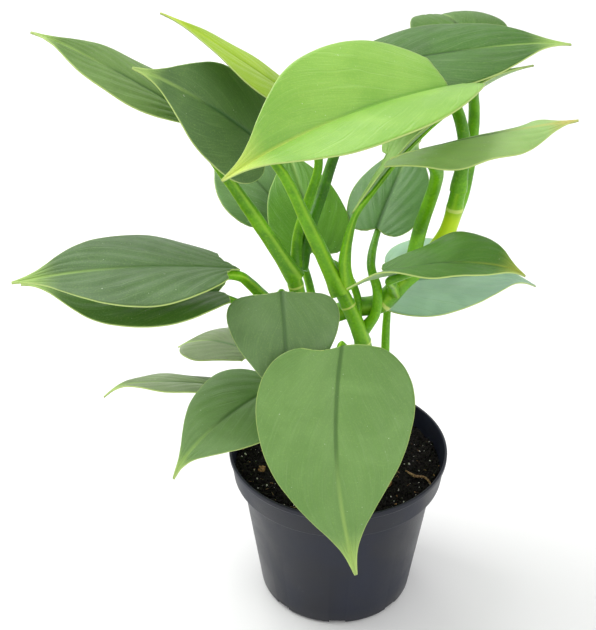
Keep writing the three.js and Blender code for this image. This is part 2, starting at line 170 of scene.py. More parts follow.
def grow(tree, name, start=None, **values):
    """Runs a tree with these inputs on a start object, and gives the result as a plain mesh."""
    source = start or bpy.data.objects.new(name, bpy.data.meshes.new(name))
    add_to_scene(source)
    modifier = source.modifiers.new(name, "NODES")
    modifier.node_group = tree
    for item in tree.interface.items_tree:
        if item.in_out == "INPUT" and item.name in values:
            modifier[item.identifier] = values[item.name]
    return evaluated_mesh(source, name)


def place(mesh, slot, *cad_nodes):
    """Puts a finished mesh in the scene on the plant's one body, in place of its CAD nodes."""
    piece = add_to_scene(bpy.data.objects.new(mesh.name, mesh))
    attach(piece, "root")
    if cad_nodes:
        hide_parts(*cad_nodes)
    return piece


# %% [markdown]
# ## Colours and patterns
#
# Colours are written as the eye sees them, in the usual six-figure form, and turned to the linear
# values that shaders work in. A living surface is never one colour, so each finish mixes two or three
# by a noise pattern that is fixed to the object.

# %% Colour helpers
def colour(code):
    """A colour such as "6fa055" as the linear values that a shader takes."""
    shares = [int(code[k : k + 2], 16) / 255 for k in (0, 2, 4)]
    return (*[s / 12.92 if s < 0.04 else ((s + 0.055) / 1.055) ** 2.4 for s in shares], 1.0)


def finish_of(name, roughness, **surface):
    """A new material: its tree, and its Principled shader with the even settings made."""
    material = bpy.data.materials.new(name)
    material.use_nodes = True
    shader = material.node_tree.nodes["Principled BSDF"]
    shader.inputs["Roughness"].default_value = roughness
    for key, value in surface.items():
        shader.inputs[key.replace("_", " ")].default_value = value
    return material, material.node_tree, shader


def mixed(tree, share, first, second):
    """A colour between two others, each given as a code or as a Term."""
    ends = [colour(c) if isinstance(c, str) else c for c in (first, second)]
    return add_node(
        tree, "ShaderNodeMix", {"Factor": share, 6: ends[0], 7: ends[1]}, out=2, data_type="RGBA"
    )


def speckle(tree, scale, detail=3.0, where=None, distortion=0.0):
    """Noise from 0 to 1. Scale is the number of blobs in a metre."""
    if where is None:
        where = add_node(tree, "ShaderNodeTexCoord", out="Object")
    return add_node(
        tree, "ShaderNodeTexNoise",
        {"Vector": where, "Scale": scale, "Detail": detail, "Distortion": distortion},
    )


def ramp(tree, value, low, high, start=0.0, end=1.0):
    """Start where value is at low or under, end where it is at high or over, smooth between."""
    return add_node(
        tree, "ShaderNodeMapRange",
        {"Value": value, "From Min": low, "From Max": high, "To Min": start, "To Max": end},
        interpolation_type="SMOOTHSTEP",
    )


def stored(tree, name):
    """A number that the shape tree stored on the mesh."""
    return add_node(tree, "ShaderNodeAttribute", out="Fac", attribute_name=name)


GREEN_GLOW = (0.6, 1.0, 0.25)  # how far red, green and blue light spread inside a leaf or stalk


def link(term, shader, key):
    term.tree.links.new(term.socket, shader.inputs[key])


def coat(shader, base, roughness, height, depth):
    """Gives a shader its colour, its roughness and bumps: height from 0 to 1, `depth` metres high."""
    link(base, shader, "Base Color")
    link(roughness, shader, "Roughness")
    bumps = add_node(base.tree, "ShaderNodeBump", {"Height": height, "Distance": depth})
    link(bumps, shader, "Normal")


# %% [markdown]
# ## Camera, floor and light
#
# The camera looks down at the pot from the front, a little left of it, as a person does who stands
# at a table. The floor is a plain pale sheet. Light comes from one large soft lamp high on the left, a
# weak one behind and one in front on the right, and a bright sky all round, so the shadows stay open.

# %% Camera
CAMERA_AT = (-0.022, -0.4946, 0.4703)
CAMERA_TILT = 59.25  # degrees up from looking straight down
camera = add_to_scene(bpy.data.objects.new("camera", bpy.data.cameras.new("camera")))
camera.location = CAMERA_AT
camera.rotation_euler = (math.radians(CAMERA_TILT), 0, 0)
camera.data.lens = 64
bpy.context.scene.camera = camera
bpy.context.scene.view_settings.view_transform = "Standard"

# %% Floor, sky and lamps
FLOOR_HALF, FLOOR_DROP = 3.0, 0.0004  # just under the pot's feet
floor_mesh = bpy.data.meshes.new("floor")
floor_mesh.from_pydata(
    [(x * FLOOR_HALF, y * FLOOR_HALF, -FLOOR_DROP) for x, y in ((-1, -1), (1, -1), (1, 1), (-1, 1))],
    [], [(0, 1, 2, 3)],
)
floor = add_to_scene(bpy.data.objects.new("floor", floor_mesh))
floor_finish, tree, shader = finish_of("floor", 0.9)
link(mixed(tree, speckle(tree, 6), "f4f4f4", "f8f8f8"), shader, "Base Color")
floor_mesh.materials.append(floor_finish)

sky = bpy.data.worlds.new("sky")
sky.use_nodes = True
glow = sky.node_tree.nodes["Background"].inputs
glow["Color"].default_value = (1.0, 1.0, 1.0, 1.0)
glow["Strength"].default_value = 0.85
bpy.context.scene.world = sky


def add_lamp(name, place_at, aim, size, power):
    """A square soft lamp that faces the point it is aimed at."""
    lamp = bpy.data.lights.new(name, "AREA")
    lamp.size, lamp.energy = size, power
    thing = add_to_scene(bpy.data.objects.new(name, lamp))
    thing.location = place_at
    thing.rotation_euler = (Vector(aim) - Vector(place_at)).to_track_quat("-Z", "Y").to_euler()


MIDDLE = (0, 0, 0.2)
add_lamp("window", (-0.9, 0.3, 1.5), MIDDLE, 1.1, 19)
add_lamp("behind", (-0.5, 1.3, 1.3), MIDDLE, 0.7, 4)
add_lamp("room", (1.1, -0.9, 0.9), MIDDLE, 1.2, 5)
print("camera, floor, sky and 3 lamps")

# %% [markdown]
# ## Leaf finish
#
# A leaf's upper side is satin green. Its midrib is a shallow channel, dark near the stalk and pale
# towards the tip. Side veins sweep forward from it, and a thin pale line runs all round the edge. The
# blade tree below stores how far each point is from the midrib and from the edge, and its place along
# and across the blade, so these lines follow the leaf however it bends.

# %% Veins, shared by the shape and the finish
VEIN_COUNT = 5.5
VEIN_LEAN = 0.72


def vein_phase(along, across):
    """Grows by 1 from each side vein to the next, along the blade from base to tip."""
    return (along - (across ** 0.75) * VEIN_LEAN) * VEIN_COUNT


def place_on_leaf(tree):
    """How far along the leaf a point is, and how far across from the midrib, both from 0 to 1."""
    on_leaf = add_node(tree, "ShaderNodeUVMap", uv_map="leaf_map")
    return on_leaf.part(0), (on_leaf.part(1) * 2.0 - 1.0).math("ABSOLUTE")


def side_veins(along, across, wander, width):
    """1 on each side vein and 0 between them. They fade out before the drip tip."""
    beside = (vein_phase(along, across) + wander).math("PINGPONG", 0.5)
    return ramp(along.tree, beside, 0.0, width, 1, 0) * ramp(along.tree, along, 0.93, 0.75)


# %% The upper side of a leaf
def leaf_face(name, face, deep, rib, tip, vein, veins, gloss):
    """face and deep: main colours. rib, tip, vein: lines and drip tip. veins: how plain they are."""
    material, tree, shader = finish_of(
        name, gloss, Subsurface_Weight=0.12, Subsurface_Scale=0.002, Subsurface_Radius=GREEN_GLOW,
        Specular_IOR_Level=0.34,
    )
    along, across = place_on_leaf(tree)
    from_rib, to_edge = stored(tree, "from_rib"), stored(tree, "to_edge")
    grain = speckle(tree, 1400, 4)
    base = mixed(tree, ramp(tree, speckle(tree, 38, 3, distortion=0.6), 0.35, 0.68), face, deep)
    base = mixed(tree, ramp(tree, grain, 0.5, 0.75, 0, 0.16), base, tip)
    base = mixed(tree, ramp(tree, grain, 0.5, 0.28, 0, 0.2), base, deep)
    line = side_veins(along, across, speckle(tree, 40, 2) * 0.9, 0.08)
    line = line * ramp(tree, speckle(tree, 50, 2), 0.35, 0.65)
    base = mixed(tree, line * veins, base, vein)
    # fine streaks run beside the side veins
    run = add_node(tree, "ShaderNodeCombineXYZ", (vein_phase(along, across) * 5.0, across, 0.0))
    streak = speckle(tree, 4.5, 4, where=run, distortion=0.3)
    base = mixed(tree, ramp(tree, streak, 0.5, 0.75, 0, 0.3), base, vein)
    base = mixed(tree, ramp(tree, streak, 0.5, 0.28, 0, 0.3), base, deep)
    dust = ramp(tree, speckle(tree, 800, 1), 0.77, 0.81, 0, 0.4)
    base = mixed(tree, dust, base, "e4ecd4")
    base = mixed(tree, ramp(tree, along, 0.78, 0.97), base, tip)
    channel = ramp(tree, from_rib, 0.0004, 0.0016, 1, 0)
    base = mixed(tree, channel * ramp(tree, along, 0.62, 0.4, 0, 0.75), base, rib)
    base = mixed(tree, channel * ramp(tree, along, 0.4, 0.85, 0, 0.55), base, tip)
    base = mixed(tree, ramp(tree, to_edge, 0.0005, 0.0002, 0, 0.55), base, EDGE_LINE)
    rough = ramp(tree, speckle(tree, 90), 0.3, 0.7, gloss - 0.05, gloss + 0.08)
    height = grain * 0.2 + streak * 0.5 + line * -0.5 + channel * -0.8
    coat(shader, base, rough, height, 0.00022)
    return material


EDGE_LINE = "b9cf78"

# %% The under side and the edge
def leaf_back(name, face, vein):
    material, tree, shader = finish_of(
        name, 0.55, Subsurface_Weight=0.12, Subsurface_Scale=0.002, Subsurface_Radius=GREEN_GLOW
    )
    along, across = place_on_leaf(tree)
    grain = speckle(tree, 1100, 4)
    base = mixed(tree, ramp(tree, speckle(tree, 45, 3), 0.3, 0.7, 0, 0.5), face, vein)
    base = mixed(tree, ramp(tree, grain, 0.45, 0.7, 0, 0.2), base, vein)
    line = side_veins(along, across, speckle(tree, 60, 2) * 0.35, 0.09)
    spine = ramp(tree, stored(tree, "from_rib"), 0.0006, 0.0022, 1, 0)
    base = mixed(tree, line * 0.5, base, vein)
    base = mixed(tree, spine, base, vein)
    base = mixed(tree, ramp(tree, stored(tree, "to_edge"), 0.0006, 0.0003), base, EDGE_LINE)
    rough = ramp(tree, speckle(tree, 120), 0.3, 0.7, 0.5, 0.64)
    coat(shader, base, rough, grain * 0.2 + line * 0.7 + spine, 0.00025)
    return material


def leaf_edge():
    material, tree, shader = finish_of("leaf_edge", 0.5)
    link(mixed(tree, speckle(tree, 300), EDGE_LINE, "b4cc70"), shader, "Base Color")
    return material


BACKS = {
    False: leaf_back("leaf_underside", "7ea267", "a3bf85"),
    True: leaf_back("young_leaf_underside", "9cc451", "bcd97a"),
}
EDGE = leaf_edge()

# %% [markdown]
# ## The leaf blade
#
# Every blade follows one rule. A midrib runs from base to tip and bows a little; the blade grows out
# of it on both sides to a heart outline, slopes up or down from it, and curves over towards its edge.
# That makes it the right job for a tree: it starts from a flat grid, and moves each grid point to
# where the rule puts it. The outline is a curve widget, as a leaf's outline is easier to draw than to
# calculate.

# %% Build the blade tree
BLADE_ROWS, BLADE_COLUMNS = 97, 49
OUTLINE = (
    (0, 0.5), (0.04, 0.74), (0.1, 0.89), (0.17, 0.97), (0.26, 1), (0.38, 0.95), (0.5, 0.83),
    (0.62, 0.62), (0.73, 0.39), (0.82, 0.2), (0.9, 0.085), (0.95, 0.045), (1, 0.015),
)
LENGTHS = ("width", "arch", "sway", "hook", "groove", "quilt", "wave")
ANGLES = ("roll", "twist", "fold", "cup", "skew")
SHARES = ("full", "lobe", "lopsided", "seed")


def blade_tree():
    tree, g = shape_tree(
        "leaf blade", base="vector", tip="vector",
        **{key: "float" for key in LENGTHS + ANGLES + SHARES}, material="material",
    )
    grid = add_node(
        tree, "GeometryNodeMeshGrid",
        {"Size X": 1.0, "Size Y": 2.0, "Vertices X": BLADE_ROWS, "Vertices Y": BLADE_COLUMNS},
    )
    spot = add_node(tree, "GeometryNodeInputPosition")
    u = spot.part(0) + 0.5
    v = spot.part(1)
    way = v.math("SIGN")
    # columns stand closer together beside the midrib, where the channel is
    off = v.math("ABSOLUTE") ** 1.3

    chord = g["tip"] - g["base"]
    forward = chord.vector("NORMALIZE")
    up = add_node(tree, "ShaderNodeCombineXYZ", (0.0, 0.0, 1.0))
    face = (up - forward * up.vector("DOT_PRODUCT", forward, out=1)).vector("NORMALIZE")
    face = face.turned(forward, g["roll"])
    side = face.vector("CROSS_PRODUCT", forward)

    spread = ((off / 0.7).math("MINIMUM", 1.0) * (math.pi / 2)).math("SINE")
    s = u - g["lobe"] * (way * g["lopsided"] + 1.0) * spread * (1.0 - u) ** 3.0
    bow = s * (1.0 - s) * 4.0
    hooked = g["hook"] * ((s - 0.8) / 0.2).clamped() ** 2.0
    rib = g["base"] + chord * s + face * (g["arch"] * bow - hooked) + side * (g["sway"] * bow)
    slope = 4.0 - s * 8.0
    tangent = chord + face * (g["arch"] * slope) + side * (g["sway"] * slope)
    tangent = tangent.vector("NORMALIZE")
    normal = (face - tangent * face.vector("DOT_PRODUCT", tangent, out=1)).vector("NORMALIZE")
    normal = normal.turned(tangent, g["twist"] * s.clamped())
    across = normal.vector("CROSS_PRODUCT", tangent)

    outline = tree.nodes.new("ShaderNodeFloatCurve")
    draw_outline(outline)
    tree.links.new((u ** g["full"]).socket, outline.inputs["Value"])
    share = Term(tree, outline.outputs[0])
    half = g["width"] * 0.5
    reach = (off * share).math("MAXIMUM", 0.0001)
    first = g["fold"] + way * g["skew"]
    bend = g["cup"] * reach
    outward = ((first + bend).math("SINE") - first.math("SINE")) / bend * reach * half
    lifted = (first.math("COSINE") - (first + bend).math("COSINE")) / bend * reach * half
    outward_normal = normal - across * (way * (first + bend).math("TANGENT"))

    from_rib, to_side = reach * half, share * (1.0 - off) * half
    to_base = u * chord.vector("LENGTH", out=1) + ramp(tree, off, 0.0, 0.1, 0.003, 0.0)
    channel = ((from_rib / 0.0016) ** 2.0 * -1.0).math("EXPONENT") * (1.0 - u * 0.8)
    pillow = (vein_phase(u, off) * math.pi).math("SINE").math("ABSOLUTE") * off * (1.0 - off) * 4.0
    ripple = (u * 14.0 + way * 1.3 + g["seed"]).math("SINE") * off * off * share
    relief = pillow * g["quilt"] - channel * g["groove"] + ripple * g["wave"]
    point = (
        rib + across * (way * outward) + normal * lifted
        + outward_normal.vector("NORMALIZE") * relief
    )

    on_leaf = add_node(tree, "ShaderNodeCombineXYZ", (u, way * off * 0.5 + 0.5, 0.0))
    shape = store(grid, "leaf_map", on_leaf, "FLOAT2", "CORNER")
    shape = store(shape, "from_rib", from_rib)
    shape = store(shape, "to_edge", to_side.math("MINIMUM", to_base))
    shape = add_node(tree, "GeometryNodeSetPosition", {"Geometry": shape, "Position": point})
    return finish_tree(tree, shape, g["material"])


def draw_outline(node):
    curve = node.mapping.curves[0]
    for x, y in OUTLINE[1:-1]:
        curve.points.new(x, y)
    curve.points[0].location = OUTLINE[0]
    curve.points[len(OUTLINE) - 1].location = OUTLINE[-1]
    node.mapping.update()


def store(shape, name, value, kind="FLOAT", domain="POINT"):
    """Keeps a number or a pair of numbers on the mesh, under a name that a material can read."""
    return add_node(
        shape.tree, "GeometryNodeStoreNamedAttribute",
        {"Geometry": shape, "Name": name, "Value": value}, data_type=kind, domain=domain,
    )


BLADE = blade_tree()
print("blade tree with", len(BLADE.nodes), "nodes")

# %% [markdown]
# ## Twenty leaves
#
# Each leaf is given by the two ends of its midrib, its width, and how it is bent: roll turns it about
# the midrib, twist turns its tip further, fold and cup slope and curve the halves, lobe sets how far
# the heart reaches back. The last line of each is its look. Young leaves near the top are yellow-green
# and glossy, older ones lower down are greyer, and the silvery colour of the ones seen against the sky
# is a painted reflection of that sky.

# %% The table of leaves
ROOTED = 65
USUAL = dict(
    full=1, arch=8, sway=0, roll=0, twist=0, fold=8, cup=-20, skew=0, hook=3, lobe=0.05, lopsided=0,
    groove=0.5, quilt=0.35, wave=0.5,
)
USUAL_LOOK = dict(
    face="6f945a", deep="5d824c", rib="46692f", tip="a3c468", vein="86a666", veins=0.14, gloss=0.42,
)
LEAVES = {
    "top_front": dict(
        base=(47, 0, 298), tip=(-54, -62, 279), width=73, full=1.3, arch=7, roll=-13, twist=-24,
        fold=27, cup=-18, skew=6, hook=1, lobe=0.02, lopsided=1.3, quilt=0.2,
        start=(56, 4, 244), via=[(57, 5, 270)], stalk=(3.4, 2.4), young=True,
        look=dict(face="8bb84d", deep="7dad42", rib="78ac40", tip="c9dd63", vein="a8cf74", veins=0.15,
                  gloss=0.34),
    ),
    "top_right": dict(
        base=(12, 44, 292), tip=(112, 46, 304), width=77, full=1.25, arch=3, roll=6, hook=1,
        start=(-21, -1, 203), via=[(-17, 8, 218), (-10, 22, 234), (-1, 34, 258)], stalk=(3.2, 2.2),
        # dark: this leaf's stalk takes the darker copy of the stalk finish, which is painted shade
        dark=True, look=dict(face="3c6a18", deep="335e10", rib="2a4e14"),
    ),
    "top_right_back": dict(
        base=(69, 70, 283), tip=(51, 126, 291), width=54, full=1.3, arch=14,
        start=(53, 5, 224), via=[(60, 14, 238), (66, 36, 266)], stalk=(3.2, 2.6),
        look=dict(face="50782a", deep="456c22", rib="34561a"),
    ),
    "right_upright": dict(
        base=(4, -2, 235), tip=(93, 46, 295), width=42, arch=8, roll=-20, twist=0, fold=24, cup=-10,
        lobe=-0.28, full=1.6, start=(2, -7, 197), via=[(1, -8, 214)], stalk=(3.6, 1.6),
        look=dict(face="94bb5c", deep="84ae50", rib="a8c878", vein="98be6c"),
    ),
    "right_pale": dict(
        base=(37, -21, 277), tip=(100, -33, 294), width=43, arch=1, roll=-22, twist=24, fold=-17,
        skew=9, cup=-4, hook=0, wave=2.0, lobe=0.3, full=1.3, start=(34, 3, 197),
        via=[(38, 1, 224), (43, -10, 258)],
        stalk=(3.8, 2.8), look=dict(face="96b86c", deep="88ab5e", tip="bcb65e"),
    ),
    "top_left_young": dict(
        base=(-19, 15, 284), tip=(-84, 12, 329), width=46, arch=1, fold=6, hook=1,
        start=(-23, -2, 205), via=[(-22, 5, 220), (-17, 10, 236), (-12, 14, 256)], stalk=(3, 1.8),
        young=True, look=dict(face="a3c529", deep="93b720", rib="80a31c", tip="c2da40", vein="b4d040"),
    ),
    "far_left": dict(
        base=(-75, 0, 286), tip=(-144, 12, 320), width=38, full=1.3, arch=2, roll=-6, hook=1,
        start=(-23, -8, 202), via=[(-38, -5, 226), (-56, -2, 254)], stalk=(4, 2), quilt=0.6,
        look=dict(face="6c8c48", deep="5f7f3c", vein="86a264", veins=0.35),
    ),
    "upper_left": dict(
        base=(-39, 2, 269), tip=(-95, -12, 311), width=60, arch=4, roll=-36, hook=1,
        start=(-1, -8, 194), via=[(-17, -5, 230), (-30, 0, 256)], stalk=(4.2, 2), quilt=0.2,
        look=dict(face="5a7a42", deep="506f3d", rib="3a6034", veins=0.12, gloss=0.5),
    ),
    "back_left": dict(
        base=(-30, 47, 211), tip=(-72, 84, 233), width=60, arch=6,
        start=(-12, -1, 130), via=[(-16, 24, 180)], stalk=(3, 1.8),
        look=dict(face="688e50", deep="5c8246", vein="86ab74"),
    ),
    "back_centre": dict(
        base=(-13, 19, 204), tip=(-29, 74, 240), width=43, arch=4,
        start=(8, -8, 175), via=[(8, 0, 187), (2, 8, 197)], stalk=(2.2, 1.6),
        look=dict(face="649928", deep="568a24", vein="90b870"),
    ),
    "back_right": dict(
        base=(19, 28, 212), tip=(45, 84, 240), width=42, arch=4,
        start=(11, -6, 170), via=[(17, -6, 180), (18, -3, 192), (15, 5, 202)], stalk=(2.8, 1.8),
        look=dict(face="628c50", deep="547e42", rib="3a5f2a"),
    ),
    "mid_left": dict(
        base=(-50, -15, 211), tip=(-155, -40, 217), width=66, full=1.35, arch=4, roll=8, twist=-26,
        hook=0, lobe=-0.08, start=(-19, -5, 172), via=[(-36, -4, 186), (-46, -11, 201)], stalk=(3.6, 2.4),
        quilt=0.6, look=dict(face="527040", deep="476436", vein="6c8a54", veins=0.35),
    ),
    "mid_left_low": dict(
        base=(-62, -5, 193), tip=(-156, -20, 208), width=56, full=1.5, arch=-3, roll=0, twist=-18,
        start=(-12, -1, 132), via=[(-36, -2, 172)], stalk=(3, 1.6),
        look=dict(face="4b7224", deep="43681f"),
    ),
    "front_left": dict(
        base=(-30, -22, 203), tip=(-26, -60, 148), width=55, arch=6, cup=-22, lobe=-0.03,
        lopsided=0, full=0.75, start=(-15, -3, 155), via=[(-26, -6, 180)], stalk=(3, 1.8),
        look=dict(face="6c8a56", deep="5f7e4a", rib="4c6c3c"),
    ),
    "front": dict(
        base=(-1, -45, 186), tip=(6, -100, 91), width=76, arch=6, sway=-7, cup=-19, lobe=-0.01,
        lopsided=-3, start=(2, -6, ROOTED), via=[(3, -8, 125), (2, -28, 168)], stalk=(3.4, 2),
        look=dict(face="729751", deep="668c46", rib="43682a", tip="a6c567"),
    ),
    "low_left": dict(
        base=(-36, -24, 146), tip=(-84, -62, 121), width=53, arch=8, roll=-8,
        start=(-8, -8, ROOTED), via=[(-14, -10, 115), (-26, -16, 138)], stalk=(3, 1.8),
        look=dict(face="76995a", deep="698c4c"),
    ),
    "low_far_left": dict(
        base=(-62, 2, 130), tip=(-124, -8, 136), width=36, arch=3, roll=18, hook=5,
        full=1.3, start=(-18, 6, ROOTED), via=[(-26, 6, 105), (-44, 3, 122)], stalk=(2.4, 1.5),
        look=dict(face="7f9266", deep="71845a", vein="98ab80"),
    ),
    "low_back_left": dict(
        base=(-48, 14, 145), tip=(-90, 45, 128), width=42, full=1.5, arch=5, hook=0,
        start=(-14, 12, ROOTED), via=[(-20, 12, 110), (-34, 13, 134)], stalk=(2.6, 1.5),
        look=dict(face="6e8054", deep="627349"),
    ),
    "right_upper": dict(
        base=(21, -26, 214), tip=(82, -44, 225), width=49, full=1.65, arch=5, roll=-14, twist=26,
        hook=2, lobe=0.16, lopsided=-0.6, fold=20, start=(27, 1, 189), via=[(24, -16, 203)], stalk=(3, 2),
        wave=1.2, look=dict(face="5c8c38", deep="4f7e2e", tip="a9b84c", vein="80a060", veins=0.3),
    ),
    "right_lower": dict(
        base=(28, 36, 174), tip=(109, 44, 171), width=72, arch=4, roll=6, fold=14, lobe=0.06,
        lopsided=-1, start=(24, 6, ROOTED), via=[(25, 10, 120), (26, 26, 158)], stalk=(3, 2),
        # its silvery blue-green colour is a painted reflection of the sky
        look=dict(face="9cc0a2", deep="8cb093", rib="66906c", tip="a8c8ac"),
    ),
}
for leaf in LEAVES.values():
    for key, value in USUAL.items():
        leaf.setdefault(key, value)

# %% Grow the blades
BLADE_THICKNESS = 0.7 * MM
SEED_STEP = 2.1  # sets each leaf's ripples apart from the next one's


def thicken(mesh):
    """Gives a single sheet of leaf its thickness, a paler back and a pale rim."""
    sheet = add_to_scene(bpy.data.objects.new(mesh.name, mesh))
    solid = sheet.modifiers.new("thickness", "SOLIDIFY")
    solid.thickness, solid.offset = BLADE_THICKNESS, 0
    solid.material_offset, solid.material_offset_rim = 1, 2
    return evaluated_mesh(sheet, mesh.name)


def grow_blade(name, leaf, seed):
    look = leaf_face(f"leaf_{name}", **{**USUAL_LOOK, **leaf["look"]})
    values = {key: leaf[key] * MM for key in LENGTHS}
    values |= {key: math.radians(leaf[key]) for key in ANGLES}
    values |= {key: float(leaf[key]) for key in ("full", "lobe", "lopsided")}
    values |= {"base": Vector(leaf["base"]) * MM, "tip": Vector(leaf["tip"]) * MM}
    mesh = grow(BLADE, f"blade_{name}", seed=seed * SEED_STEP, material=look, **values)
    for extra in (BACKS[leaf.get("young", False)], EDGE):
        mesh.materials.append(extra)
    return thicken(mesh)


for seed, (name, leaf) in enumerate(LEAVES.items()):
    blade = grow_blade(name, leaf, seed)
    place(blade, "young_leaf" if leaf.get("young") else "leaf", f"leaf_{name}")
    if seed == 0:
        print("one blade has", len(blade.polygons), "faces")
print(len(LEAVES), "blades")

# %% [markdown]
# ## Stems and stalks
#
# A stalk is a tube that follows a path, so it is one too for Geometry Nodes: a curve carries the
# path and the radius, and a profile is swept along it. The profile isn't a circle. A philodendron's
# stalk is channelled on its upper side, with a ridge on each side of the channel where the sheath
# was, so the tree presses a channel in and stores where the ridges are for the finish.

# %% A smooth path through points
PATH_STEPS = 12  # points of a path between two given ones


def smooth_path(points, steps=PATH_STEPS):
    """Points along a smooth curve through the given ones, which passes each without a kink."""
    points = [Vector(p) for p in points]
    points = [points[0] * 2 - points[1], *points, points[-1] * 2 - points[-2]]
    path = []
    for before, here, there, after in zip(points, points[1:], points[2:], points[3:]):
        gaps = [math.sqrt((b - a).length) for a, b in ((before, here), (here, there), (there, after))]
        step = there - here
        leave = (here - before) / gaps[0] - (there - before) / (gaps[0] + gaps[1]) + step / gaps[1]
        arrive = step / gaps[1] - (after - here) / (gaps[1] + gaps[2]) + (after - there) / gaps[2]
        for k in range(steps):
            t = k / steps
            path.append(
                here * (2 * t**3 - 3 * t**2 + 1) + leave * gaps[1] * (t**3 - 2 * t**2 + t)
                + there * (3 * t**2 - 2 * t**3) + arrive * gaps[1] * (t**3 - t**2)
            )
    return [*path, points[-2]]


def shares_along(path):
    """How far along the path each of its points is, from 0 to 1."""
    runs = [0.0]
    for a, b in zip(path, path[1:]):
        runs.append(runs[-1] + (b - a).length)
    return [run / runs[-1] for run in runs]


def between(values, t):
    """The value at t from 0 to 1 along a list of values, smooth from each to the next."""
    x = t * (len(values) - 1)
    k = min(int(x), len(values) - 2)
    w = (x - k) ** 2 * (3 - 2 * (x - k))
    return values[k] * (1 - w) + values[k + 1] * w


def path_object(name, path, radii):
    """A curve object in metres, with a radius at each point, from a path in millimetres."""
    data = bpy.data.curves.new(name, "CURVE")
    data.dimensions = "3D"
    data.twist_mode = "MINIMUM"
    spline = data.splines.new("POLY")
    spline.points.add(len(path) - 1)
    for point, at, radius in zip(spline.points, path, radii):
        point.co = (*(at * MM), 1)
        point.radius = radius * MM
    return bpy.data.objects.new(name, data)


# %% The tube tree
def tube_tree():
    tree, g = shape_tree(
        "channelled tube", path="geometry", sides="int", channel="float", ridge="float",
        roughness="float", material="material",
    )
    run = add_node(tree, "GeometryNodeSplineParameter")
    path = store(g["path"], "along", run)
    profile = add_node(tree, "GeometryNodeCurvePrimitiveCircle", {"Resolution": g["sides"], "Radius": 1.0})
    # the seam of the profile is at angle 0; the channel is opposite to it
    profile = store(profile, "around", run)
    swept = add_node(
        tree, "GeometryNodeCurveToMesh",
        {"Curve": path, "Profile Curve": profile, "Fill Caps": True,
         "Scale": add_node(tree, "GeometryNodeInputRadius")},
    )
    around = add_node(
        tree, "GeometryNodeInputNamedAttribute", {"Name": "around"}, data_type="FLOAT"
    )
    from_channel = (around - 0.5).math("ABSOLUTE")
    channel = ((from_channel / 0.07) ** 2.0 * -1.0).math("EXPONENT")
    ridge = (((from_channel - 0.13) / 0.035) ** 2.0 * -1.0).math("EXPONENT")
    spot = add_node(tree, "GeometryNodeInputPosition")
    uneven = speckle(tree, 120, 2, where=spot) - 0.5
    out = add_node(tree, "GeometryNodeInputNormal")
    lift = ridge * g["ridge"] - channel * g["channel"] + uneven * g["roughness"]
    shape = store(swept, "ridge", ridge)
    shape = add_node(tree, "GeometryNodeSetPosition", {"Geometry": shape, "Offset": out * lift})
    return finish_tree(tree, shape, g["material"])


TUBE = tube_tree()

# %% Finish of the stalks and stems
def stalk_finish(name, face, deep, pale, foot=None, rings=()):
    """face and deep: main colours; pale: ridges; foot: the lower end; rings: (share, spread, colour)."""
    material, tree, shader = finish_of(
        name, 0.36, Subsurface_Weight=0.35, Subsurface_Scale=0.004, Subsurface_Radius=GREEN_GLOW,
        Specular_IOR_Level=0.35,
    )
    along = stored(tree, "along")
    grain = speckle(tree, 900, 5)
    base = mixed(tree, ramp(tree, speckle(tree, 55, 3, distortion=1.0), 0.35, 0.7), face, deep)
    base = mixed(tree, ramp(tree, grain, 0.52, 0.7, 0, 0.25), base, pale)
    base = mixed(tree, ramp(tree, grain, 0.48, 0.3, 0, 0.5), base, deep)
    base = mixed(tree, stored(tree, "ridge") * 0.6, base, pale)
    if foot:
        base = mixed(tree, ramp(tree, along, 0.3, 0.0, 0, 0.8), base, foot)
    for at, spread, shade in rings:
        beside = (along + speckle(tree, 200, 2) * 0.006 - at - 0.003).math("ABSOLUTE")
        base = mixed(tree, ramp(tree, beside, spread, spread * 0.4, 0, 0.85), base, shade)
    coat(shader, base, ramp(tree, speckle(tree, 300), 0.3, 0.7, 0.32, 0.46), grain, 0.00012)
    return material


STALK = stalk_finish("stalk", "70b00c", "4f8a08", "a6d030")
# a darker copy of the stalk finish: painted shade, for the stalk of the top right leaf
PAINTED_SHADE_STALK = stalk_finish("shaded_stalk", "4a8610", "386c0c", "7cae30")

# %% Grow the stems
# points, then radii from foot to top; then the places of the leaf scars as shares of the length
STEMS = {
    "stem_left": (
        [(-8, 0, ROOTED), (-9, 0, 101), (-13, -2, 140), (-20, -6, 180), (-24, -8, 203)],
        [4.5, 5, 4.6, 4.6, 3.8], [0.52, 0.79, 0.965],
    ),
    "stem_middle": (
        [(17, 5, ROOTED), (17, 4, 101), (14, -4, 150), (9, -8, 172), (0, -8, 194)],
        [4, 4.4, 4.2, 4.2, 3.6], [0.76, 0.94],
    ),
    "stem_right": (
        [(2, 14, ROOTED), (-2, 13, 106), (-10, 9, 150), (-6, 4, 172), (6, 2, 179), (20, 2, 182),
         (30, 3, 193), (42, 4, 205), (52, 4, 222), (56, 4, 244)],
        [4, 4.4, 3.6, 3.4, 3.6, 4.8, 5.2, 4.6, 4.2, 3.9], [0.4, 0.66, 0.82, 0.955],
    ),
}
RING_HEIGHT, RING_WIDTH = 0.35, 0.008  # mm, and a share of the stem's length


def grow_stem(name, points, radii, scars):
    path = smooth_path(points, 16)
    thick = []
    for t in shares_along(path):
        ring = sum(math.exp(-(((t - at) / RING_WIDTH) ** 2)) for at in scars)
        thick.append(between(radii, t) + ring * RING_HEIGHT)
    rings = [(at, 0.006, "c9d970") for at in scars]
    if name == "stem_right":
        rings.insert(0, (0.89, 0.085, "bedc06"))
    look = stalk_finish(name, "70b00c", "4f8a08", "a0cc28", foot="7f9434", rings=rings)
    stem = grow(
        TUBE, name, path_object(name, path, thick), sides=40, channel=0.0, ridge=0.0,
        roughness=0.5 * MM, material=look,
    )
    place(stem, "stem", name)


for name, (points, radii, scars) in STEMS.items():
    grow_stem(name, points, radii, scars)
print(len(STEMS), "stems")

